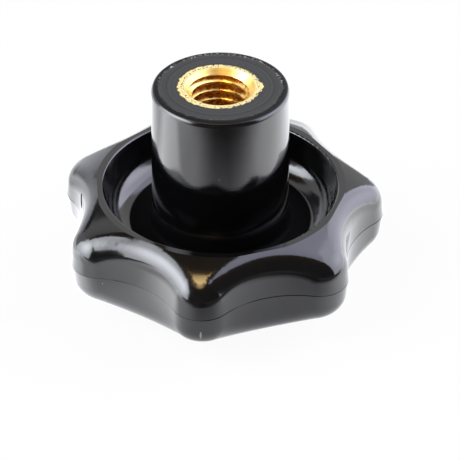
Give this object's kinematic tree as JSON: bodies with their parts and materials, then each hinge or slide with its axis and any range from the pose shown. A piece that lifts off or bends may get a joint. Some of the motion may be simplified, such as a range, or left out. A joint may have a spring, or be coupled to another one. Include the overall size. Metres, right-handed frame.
{
  "type": "star knob",
  "caption": "Star-shaped clamping knob of black phenolic, with a lobed grip, a tall round hub and a blind threaded brass bush.",
  "frame": {"origin": "centre of the hub's end face, on the thread's axis, where the knob meets what it clamps", "axes": "+Z along the thread's axis, out of the hole's mouth; the palm side faces -Z, and one lobe points 7.1 degrees from -Y towards -X"},
  "size_m": [0.0487, 0.0487, 0.0337],
  "materials": {
    "phenolic": "polished black phenolic moulding",
    "brass": "bright turned brass"
  },
  "bodies": {
    "root": {"star_grip": "phenolic", "threaded_insert": "brass"}
  },
  "joints": []
}
